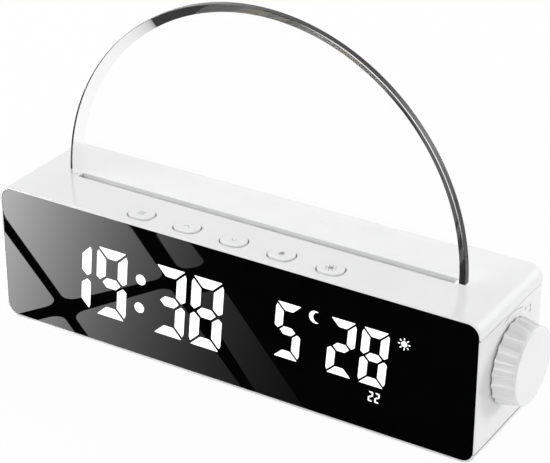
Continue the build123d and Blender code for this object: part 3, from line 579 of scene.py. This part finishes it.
mark_height = 38.9 * MM
moon_x = 137.7 * MM
moon_radius = 2.5 * MM
bite_radius = 2.1 * MM
bite_offset = 1.25 * MM
horn_rounding = 0.02 * MM
horn_x = (moon_radius**2 - bite_radius**2 + bite_offset**2) / (2 * bite_offset)
horn_z = (moon_radius**2 - horn_x**2) ** 0.5
outer_turn = atan2(horn_z, horn_x)
inner_turn = atan2(horn_z, horn_x - bite_offset)
moon = flat_shape(
    "moon_mark",
    arc(0, moon_radius, outer_turn, 2 * (pi - outer_turn), 24)
    + arc(bite_offset, bite_radius, -inner_turn, -2 * (pi - inner_turn), 18)[1:-1],
    horn_rounding,
)
moon.data.transform(on_panel(moon_x, mark_height))
finished(joined("moon_mark", [moon], glow_depth), lit_white, "housing")

sun_x = 172.9 * MM
sun_disc = 1.15 * MM
ray_start = 1.6 * MM
ray_end = 2.4 * MM
ray_width = 0.5 * MM
ray_rounding = 0.08 * MM


def sun_shapes():
    """A disc with eight rays round it, round its own middle in the XZ plane."""
    deselect()
    bpy.ops.mesh.primitive_circle_add(
        vertices=24, radius=sun_disc, fill_type="NGON", rotation=(pi / 2, 0, 0)
    )
    bpy.ops.object.transform_apply(location=True, rotation=True, scale=True)
    disc = bpy.context.object
    ray = flat_shape(
        "ray",
        [
            (ray_start, -ray_width / 2),
            (ray_end, -ray_width / 3),
            (ray_end, ray_width / 3),
            (ray_start, ray_width / 2),
        ],
        ray_rounding,
    )
    rays = [copy_of(ray, Matrix.Rotation(turn * pi / 4, 4, "Y")) for turn in range(1, 8)]
    return [disc, ray, *rays]


flat_sun = joined("flat_sun", sun_shapes())
sun = copy_of(flat_sun, on_panel(sun_x, mark_height))
finished(joined("sun_mark", [sun], glow_depth), lit_white, "housing")
for bar in (top_bar, right_bar, middle_bar):
    bpy.data.objects.remove(bar)


# ---- Plate holder -------------------------------------------------------------------------------
# A trough moulded from white plastic, less polished than the covers. It hangs under the slot in
# the top cover, grips the plate's tongue and carries the board with the lamps below it.
holder_white = white_plastic(
    "satin_white_holder", (0.88, 0.88, 0.88), (0.84, 0.84, 0.845), 0.30, 0.01 * MM
)
dress(holder_white, "plate_holder")


# ---- Light plate --------------------------------------------------------------------------------
# A half disc of clear acrylic, polished all over, with a steep bevel milled round its rear. Its
# tongue stands in the holder over a row of lamps, whose light runs up inside it to the bevel.
clear_acrylic, wire = new_material("polished_clear_acrylic")
coat_with(
    wire,
    {
        "Base Color": (1.0, 1.0, 1.0, 1),
        "Roughness": 0.004 * grain(wire, 20 * MM),
        "Transmission Weight": 1.0,
        "IOR": 1.49,
    },
)
plate_low, plate_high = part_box("light_plate")
plate_middle = (plate_low.x + plate_high.x) / 2
plate_radius = (plate_high.x - plate_low.x) / 2
bevel_width = 3.8 * MM
bevel_depth = 2.55 * MM
front_chamfer = 0.2 * MM
tongue_half = 80.0 * MM
tongue_depth = 7.0 * MM
rim_steps = 144
weld_distance = 0.001 * MM
plate_section = [
    (0, -plate_low.y),
    (plate_radius - front_chamfer, -plate_low.y),
    (plate_radius, -plate_low.y - front_chamfer),
    (plate_radius, -plate_high.y + bevel_depth),
    (plate_radius - bevel_width, -plate_high.y),
    (0, -plate_high.y),
]
plate = flat_shape("light_plate_clear", plate_section, 0)
bpy.ops.object.mode_set(mode="EDIT")
bpy.ops.mesh.select_all(action="SELECT")
bpy.ops.mesh.spin(steps=rim_steps, angle=-pi, center=(0, 0, 0), axis=(0, 0, 1))
bpy.ops.mesh.select_all(action="SELECT")
bpy.ops.mesh.remove_doubles(threshold=weld_distance)
bpy.ops.mesh.dissolve_degenerate(threshold=weld_distance)
bpy.ops.mesh.normals_make_consistent(inside=False)
bpy.ops.object.mode_set(mode="OBJECT")
plate.data.transform(Matrix.Rotation(pi / 2, 4, "X"))
deselect()
bpy.ops.mesh.primitive_cube_add(size=1)
tongue = bpy.context.object
tongue_size = (2 * tongue_half, plate_high.y - plate_low.y, 2 * tongue_depth)
bpy.ops.object.mode_set(mode="EDIT")
bpy.ops.transform.resize(value=tongue_size)
bpy.ops.transform.translate(value=(0, (plate_low.y + plate_high.y) / 2, 0))
bpy.ops.object.mode_set(mode="OBJECT")
deselect()
plate.select_set(True)
bpy.context.view_layer.objects.active = plate
union = plate.modifiers.new("tongue", "BOOLEAN")
union.operation = "UNION"
union.solver = "EXACT"
union.object = tongue
bpy.ops.object.modifier_apply(modifier="tongue")
bpy.data.objects.remove(tongue)
bpy.ops.object.mode_set(mode="EDIT")
bpy.ops.mesh.select_all(action="SELECT")
bpy.ops.mesh.dissolve_limited(angle_limit=radians(0.3))
bpy.ops.object.mode_set(mode="OBJECT")
bpy.ops.object.shade_smooth_by_angle(angle=radians(12))
plate.data.transform(Matrix.Translation((plate_middle, 0, plate_high.z - plate_radius)))
# Without this it would shade the cover from the lamps as an opaque board does.
plate.visible_shadow = False
finished(plate, clear_acrylic, "housing")
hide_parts("light_plate")
dress(clear_acrylic, "light_plate")


# ---- Buttons ------------------------------------------------------------------------------------
# Five oval caps of the same white plastic, a little less polished, each over its switch. Their
# signs are printed on them in grey ink.
button_white = white_plastic(
    "white_button_abs", (0.90, 0.90, 0.905), (0.87, 0.87, 0.875), 0.16, 0.008 * MM
)
dress(button_white, *[f"button_{name}" for name in button_names])

grey_print, wire = new_material("grey_printed_ink")
cover = grain(wire, 0.3 * MM, 3)
coat_with(
    wire,
    {
        "Base Color": wire.blend(cover, (0.30, 0.30, 0.31, 1), (0.38, 0.38, 0.39, 1)),
        "Roughness": 0.4 + 0.1 * cover,
    },
)

sign_line = 0.3 * MM
sign_scale = 0.9
ink_depth = 0.03 * MM


def stroke_shape(name, start, end):
    """A printed line between two places, with rounded ends."""
    run = Vector((end[0] - start[0], end[1] - start[1]))
    aside = run.orthogonal().normalized() * sign_line / 2
    corners = [
        (start[0] - aside.x, start[1] - aside.y),
        (end[0] - aside.x, end[1] - aside.y),
        (end[0] + aside.x, end[1] + aside.y),
        (start[0] + aside.x, start[1] + aside.y),
    ]
    return flat_shape(name, corners, sign_line / 3)


chevron_half_width = 1.3 * MM
chevron_tip = 0.8 * MM
chevron_foot = 0.6 * MM


def chevron(turn):
    """An open arrow that points up with 1, or down with -1."""
    tip = (0, chevron_tip * turn)
    return [
        stroke_shape("chevron_left", (-chevron_half_width, -chevron_foot * turn), tip),
        stroke_shape("chevron_right", (chevron_half_width, -chevron_foot * turn), tip),
    ]


menu_half_width = 1.5 * MM
menu_spacing = 1.0 * MM
menu_lines = [
    stroke_shape("menu_line", (-menu_half_width, height), (menu_half_width, height))
    for height in (-menu_spacing, 0, menu_spacing)
]
bell_side = [(1.5 * MM, -0.9 * MM), (1.0 * MM, -0.4 * MM), (0.9 * MM, 0.9 * MM), (0.3 * MM, 1.5 * MM)]
bell_rounding = 0.12 * MM
clapper_half_width = 0.4 * MM
clapper_height = -1.35 * MM
bell_shapes = [
    flat_shape("bell_cup", [(-x, z) for x, z in bell_side] + bell_side[::-1], bell_rounding),
    stroke_shape(
        "bell_clapper", (-clapper_half_width, clapper_height), (clapper_half_width, clapper_height)
    ),
]
signs = {
    "mode": menu_lines,
    "up": chevron(1),
    "down": chevron(-1),
    "bell": bell_shapes,
    "light": [flat_sun],
}
for name, shapes in signs.items():
    low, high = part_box(f"button_{name}")
    sign = joined(f"{name}_sign", shapes, ink_depth)
    cap_middle = ((low.x + high.x) / 2, (low.y + high.y) / 2, high.z)
    sign.data.transform(
        Matrix.Translation(cap_middle)
        @ Matrix.Rotation(-pi / 2, 4, "X")
        @ Matrix.Scale(sign_scale, 4)
    )
    finished(sign, grey_print, f"{name}_button")


# ---- Dimmer knob --------------------------------------------------------------------------------
# One hollow moulding of white ABS with deep flutes round it and a smooth face, less polished than
# the covers. It is pushed onto the flatted end of the dimmer's shaft.
knob_white = white_plastic(
    "satin_white_knob", (0.90, 0.90, 0.905), (0.88, 0.88, 0.885), 0.12, 0.004 * MM
)
dress(knob_white, "knob")


# ---- Dimmer scale -------------------------------------------------------------------------------
# A thin arc, a dot and a plain figure are printed on the end wall round the knob. They are fine
# and pale, so they only show close to.
scale_radius = 18.7 * MM
scale_line = 0.3 * MM
scale_start = radians(110)
scale_sweep = radians(-45)
scale_rounding = 0.05 * MM
dot_radius = 0.5 * MM
dot_corners = 16
dot_rounding = 0.01 * MM
dot_turn = radians(35)
figure_height = 4.4 * MM
figure_place = (14.7 * MM, 0, 12.1 * MM)
scale_arc = flat_shape(
    "scale_arc",
    arc(0, scale_radius + scale_line / 2, scale_start, scale_sweep, 24)
    + arc(0, scale_radius - scale_line / 2, scale_start + scale_sweep, -scale_sweep, 24),
    scale_rounding,
)
dot_sweep = 2 * pi * (dot_corners - 1) / dot_corners
scale_dot = flat_shape(
    "scale_dot",
    [
        (x + scale_radius * sin(dot_turn), z + scale_radius * cos(dot_turn))
        for x, z in arc(0, dot_radius, 0, dot_sweep, dot_corners - 1)
    ],
    dot_rounding,
)
deselect()
bpy.ops.object.text_add(rotation=(pi / 2, 0, 0))
scale_figure = bpy.context.object
scale_figure.name = "scale_figure"
scale_figure.data.body = "2"
scale_figure.data.size = figure_height
scale_figure.data.align_x = "CENTER"
bpy.ops.object.convert(target="MESH")
bpy.ops.object.transform_apply(location=True, rotation=True, scale=True)
scale_figure.data.transform(Matrix.Translation(figure_place))
low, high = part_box("knob")
knob_axis = ((low.y + high.y) / 2, (low.z + high.z) / 2)
scale_marks = joined("knob_scale", [scale_arc, scale_dot, scale_figure], ink_depth)
scale_marks.data.transform(
    Matrix.Translation((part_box("rear_shell")[1].x, *knob_axis)) @ Matrix.Rotation(pi / 2, 4, "Z")
)
finished(scale_marks, grey_print, "housing")


# ---- Table and room -----------------------------------------------------------------------------
# A wide white table in a white room. Both look plain white where they are seen directly, in gloss
# or through the plate, and they light matt surfaces less, so that the clock keeps its shading.
table_share = 0.95
rim_dimming = 0.92
ambient = 0.54


def seen_share(wire):
    """1 for what is seen directly, in gloss or through the plate, and 0 for light on matt things."""
    rays = [
        wire.add("ShaderNodeLightPath", out=kind)
        for kind in ("Is Camera Ray", "Is Glossy Ray", "Is Transmission Ray")
    ]
    spread = wire.add("ShaderNodeLightPath", out="Diffuse Depth")
    return wire.math("MINIMUM", sum(rays[1:], rays[0]), 1.0) * wire.math("LESS_THAN", spread, 0.5)


def dimmed_share(wire):
    """How far table and room are dimmed for a ray that gloss has turned back twice or more.

    This is for looks alone: it gives the plate's rim its dark band, and acrylic takes far less.
    """
    turns = wire.add("ShaderNodeLightPath", out="Glossy Depth")
    return rim_dimming * wire.math("GREATER_THAN", turns, 1.5)


deselect()
bpy.ops.mesh.primitive_plane_add(size=12)
floor = bpy.context.object
floor.name = "floor"
floor_white, wire = new_material("white_table")
lit_table = wire.add("ShaderNodeBsdfDiffuse", {}, {"Color": (0.88, 0.88, 0.88, 1)})
bare_white = wire.add("ShaderNodeEmission", {}, {"Color": (1, 1, 1, 1), "Strength": 1.0})
seen_white = table_share * seen_share(wire)
table = wire.add("ShaderNodeMixShader", {}, {0: seen_white, 1: lit_table, 2: bare_white})
no_light = wire.add("ShaderNodeEmission", {}, {"Strength": 0.0})
dimmed_table = wire.add("ShaderNodeMixShader", {}, {0: dimmed_share(wire), 1: table, 2: no_light})
wire.add("ShaderNodeOutputMaterial", {}, {"Surface": dimmed_table})
floor.data.materials.append(floor_white)

world = bpy.data.worlds.new("white_room")
world.use_nodes = True
world.node_tree.nodes.clear()
bpy.context.scene.world = world
wire = Wire(world.node_tree)
bright = (ambient + (1 - ambient) * seen_share(wire)) * (1 - dimmed_share(wire))
room = wire.add("ShaderNodeBackground", {}, {"Color": (1, 1, 1, 1), "Strength": bright})
wire.add("ShaderNodeOutputWorld", {}, {"Surface": room})


# ---- Studio lamps -------------------------------------------------------------------------------
# Four square soft boxes: two high on the left, before and behind the clock, one low in front and one
# low behind on the right. None shows through the plate, and only the two in front show in gloss.
lamp_aim = Vector((0, 0, 50 * MM))


def soft_lamp(name, place, size, watts, in_gloss):
    """A square soft box that faces the clock, and that shows in gloss or not."""
    lamp_data = bpy.data.lights.new(name, "AREA")
    lamp_data.shape = "SQUARE"
    lamp_data.size = size
    lamp_data.energy = watts
    lamp = bpy.data.objects.new(name, lamp_data)
    bpy.context.collection.objects.link(lamp)
    lamp.location = place
    lamp.visible_glossy = in_gloss
    lamp.visible_transmission = False
    lamp.rotation_euler = (lamp_aim - lamp.location).to_track_quat("-Z", "Y").to_euler()


soft_lamp("front_top_lamp", (-0.60, -0.70, 0.90), 0.3, 3.9, True)
soft_lamp("rear_top_lamp", (-0.60, 0.70, 0.90), 0.3, 3.5, False)
soft_lamp("front_lamp", (0.25, -0.85, 0.25), 0.3, 1.0, True)
soft_lamp("rear_lamp", (0.72, 0.64, 0.20), 0.25, 3.2, False)


# ---- Cards that gloss sees ----------------------------------------------------------------------
# Only gloss sees these cards. A dark one lies on the table before the mirror, with the bright panes
# of a window on it, and a glowing one behind on the right gives the cover's shoulder its soft shine.
dark_card_place = (-41 * MM, -71 * MM, 0.2 * MM)
dark_card_size = (286 * MM, 90 * MM)
deselect()
bpy.ops.mesh.primitive_plane_add(size=1)
dark_card = bpy.context.object
dark_card.name = "dark_card"
dark_card.data.transform(
    Matrix.Translation(dark_card_place) @ Matrix.Diagonal((*dark_card_size, 1, 1))
)
dark, wire = new_material("dark_table_reflection")
black = wire.add("ShaderNodeEmission", {}, {"Strength": 0.0})
wire.add("ShaderNodeOutputMaterial", {}, {"Surface": black})
dark_card.data.materials.append(dark)

soft_card_place = Vector((0.68, 0.96, 0.47))
soft_card_size = 1.8
edge_glow = 1.0
added_glow = 2.2
glow_fall = 8.2
deselect()
bpy.ops.mesh.primitive_plane_add(size=soft_card_size)
soft_card = bpy.context.object
soft_card.name = "soft_card"
soft_card_turn = (-soft_card_place).to_track_quat("Z", "Y").to_matrix().to_4x4()
soft_card.data.transform(Matrix.Translation(soft_card_place) @ soft_card_turn)
soft_glow, wire = new_material("soft_reflection")
place = wire.add("ShaderNodeTexCoord", out="Object")
away = wire.add(
    "ShaderNodeVectorMath", {"operation": "DISTANCE"}, {0: place, 1: soft_card_place}, "Value"
)
fading = wire.math("EXPONENT", -glow_fall * away * away)
glow_skin = wire.add("ShaderNodeEmission", {}, {"Strength": edge_glow + added_glow * fading})
wire.add("ShaderNodeOutputMaterial", {}, {"Surface": glow_skin})
soft_card.data.materials.append(soft_glow)

# Where the camera sees each pane's corners in the mirror, in millimetres from the mirror's own lower
# left corner. Those beyond its foot or its left edge lie outside what it shows.
pane_corners = {
    "long_pane": [(0.0, 42.0), (0.0, 54.0), (58.5, 54.0), (74.3, 36.0), (27.7, 12.2)],
    "left_pane": [(-4.2, 39.1), (23.7, 9.9), (-4.6, -5.0)],
    "low_pane": [(4.9, -5.0), (25.6, 5.9), (35.6, -5.0)],
    "middle_pane": [(30.8, 7.6), (75.8, 32.7), (111.2, -5.0), (42.2, -5.0)],
    "high_pane": [(69.8, 54.0), (85.2, 54.0), (92.6, 46.5), (80.8, 41.0)],
    "faint_pane": [(86.8, 33.0), (99.7, 38.6), (137.3, -5.0), (116.7, -5.0)],
}
pane_height = 0.4 * MM
pane_rounding = 5 * MM
eye = camera.matrix_world.translation


def on_table(x, z):
    """The place on the table whose reflection the camera sees at that place on the mirror."""
    point = on_panel(x, z).translation
    reach = point.z / (eye.z - point.z)
    return (point.x + reach * (point.x - eye.x), point.y + reach * (eye.y - point.y))


# The panes' brightness goes over the table on a curve: what it is at the origin, under the middle of
# the clock, and the slopes and curves of its exponent along x and y.
pane_brightness = 0.403
slope_x = -36.85
slope_y = 17.03
curve_xx = 91.7
curve_xy = 85.1
curve_yy = 27.9
pane_glow, wire = new_material("window_pane_reflection")
place = wire.add("ShaderNodeTexCoord", out="Object")
table_x = wire.add("ShaderNodeSeparateXYZ", {}, {"Vector": place}, "X")
table_y = wire.add("ShaderNodeSeparateXYZ", {}, {"Vector": place}, "Y")
fall = slope_x * table_x + slope_y * table_y - curve_xx * table_x * table_x
fall = fall + curve_xy * table_x * table_y - curve_yy * table_y * table_y
brightness = pane_brightness * wire.math("EXPONENT", fall)
pane_skin = wire.add("ShaderNodeEmission", {}, {"Color": (1, 1, 1, 1), "Strength": brightness})
wire.add("ShaderNodeOutputMaterial", {}, {"Surface": pane_skin})
stage_cards = [dark_card, soft_card]
for name, corners in pane_corners.items():
    table_corners = [on_table(x * MM, z * MM) for x, z in corners]
    pane = flat_shape(name, table_corners, pane_rounding, 6)
    pane.data.transform(Matrix.Translation((0, 0, pane_height)) @ Matrix.Rotation(-pi / 2, 4, "X"))
    pane.data.materials.append(pane_glow)
    stage_cards.append(pane)
for card in stage_cards:
    card.visible_camera = False
    card.visible_diffuse = False
    card.visible_transmission = False
    card.visible_shadow = False
    card.visible_volume_scatter = False


# ---- Picture ------------------------------------------------------------------------------------
# Colours are shown as they are.
bpy.context.scene.view_settings.view_transform = "Standard"
